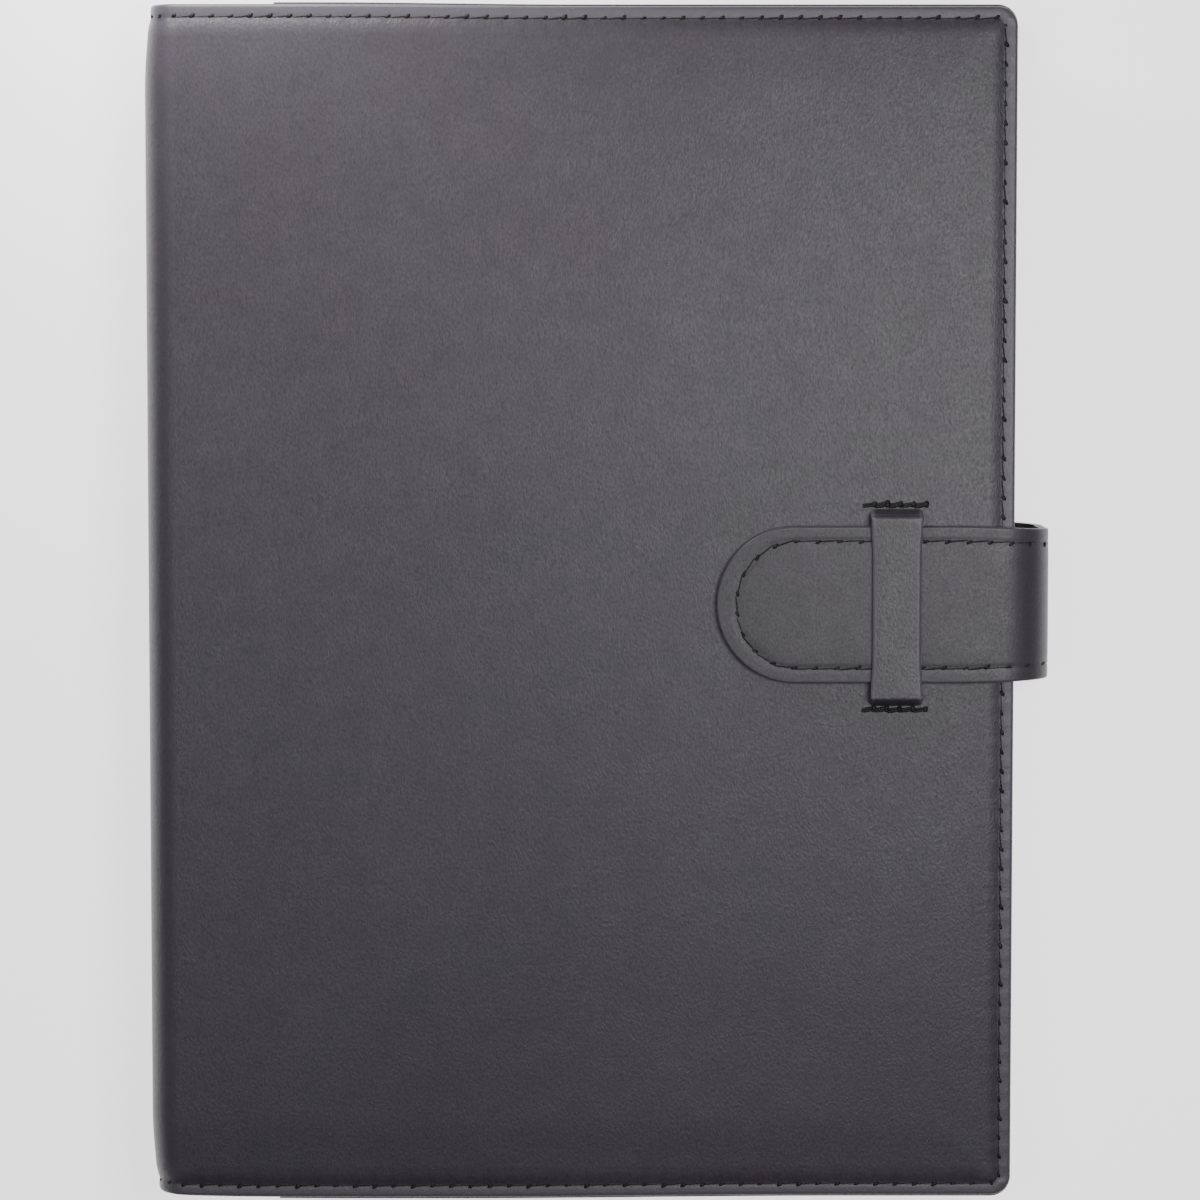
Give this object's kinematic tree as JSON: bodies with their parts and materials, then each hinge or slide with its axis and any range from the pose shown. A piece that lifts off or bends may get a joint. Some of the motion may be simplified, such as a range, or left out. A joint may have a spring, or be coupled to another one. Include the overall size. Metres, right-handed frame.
{
  "type": "leather notebook cover",
  "caption": "Refillable leather notebook cover with a wrap-around strap tucked under a keeper, holding a hardback notebook whose boards slide into stitched sleeves.",
  "frame": {"origin": "middle of the closed cover's outline, strap bow included, on the back panel's outer face", "axes": "+X from spine to fore-edge, +Y from tail to head, +Z from the back panel to the front panel"},
  "size_m": [0.1666, 0.22, 0.0258],
  "materials": {
    "cover_leather": "satin",
    "strap_leather": "satin",
    "keeper_leather": "satin",
    "lining_cloth": "matte",
    "sleeve_leather": "matte",
    "seam_thread": "matte",
    "book_board": "matte",
    "book_cloth": "matte",
    "endpaper": "matte",
    "leaves": "matte"
  },
  "bodies": {
    "back": {"back_leather": "cover_leather", "back_lining": "lining_cloth", "back_sleeve": "sleeve_leather", "back_seam_thread": "seam_thread", "back_board": "book_board", "back_endpaper": "endpaper", "lower_pages": "leaves", "strap_tail_face": "strap_leather", "strap_tail_backing": "strap_leather", "strap_anchor_thread": "seam_thread"},
    "spine": {"spine_leather": "cover_leather", "spine_lining": "lining_cloth", "spine_seam_threads": "seam_thread", "book_spine": "book_cloth"},
    "front": {"front_leather": "cover_leather", "front_lining": "lining_cloth", "front_sleeve": "sleeve_leather", "front_seam_thread": "seam_thread", "front_board": "book_board", "front_endpaper": "endpaper", "keeper_band": "keeper_leather", "keeper_tacks": "seam_thread"},
    "leaves": {"upper_pages": "leaves"},
    "strap_side": {"strap_side_face": "strap_leather", "strap_side_backing": "strap_leather", "strap_side_threads": "seam_thread"},
    "strap_tab": {"strap_tab_face": "strap_leather", "strap_tab_backing": "strap_leather", "strap_tab_thread": "seam_thread"}
  },
  "joints": [
    {"name": "cover_spine", "type": "hinge", "parent": "back", "child": "spine", "pos_m": [-0.08154, 0, 0.00176], "axis": [0, -1, 0], "range_deg": [0, 90]},
    {"name": "cover_front", "type": "hinge", "parent": "spine", "child": "front", "pos_m": [-0.08154, 0, 0.02074], "axis": [0, -1, 0], "range_deg": [0, 90]},
    {"name": "leaves_turn", "type": "hinge", "parent": "back", "child": "leaves", "pos_m": [-0.0783, 0, 0.01125], "axis": [0, -1, 0], "range_deg": [0, 180]},
    {"name": "strap_swing", "type": "hinge", "parent": "back", "child": "strap_side", "pos_m": [0.08142, 0.0003, 0.00308], "axis": [0, 1, 0], "range_deg": [0, 90]},
    {"name": "strap_unbend", "type": "hinge", "parent": "strap_side", "child": "strap_tab", "pos_m": [0.08142, 0.0003, 0.02252], "axis": [0, 1, 0], "range_deg": [0, 90]}
  ],
  "couplings": [
    {"joint": "cover_front", "follows": "cover_spine", "ratio": 1},
    {"joint": "leaves_turn", "follows": "cover_spine", "ratio": 2},
    {"joint": "strap_unbend", "follows": "strap_swing", "ratio": 1}
  ]
}
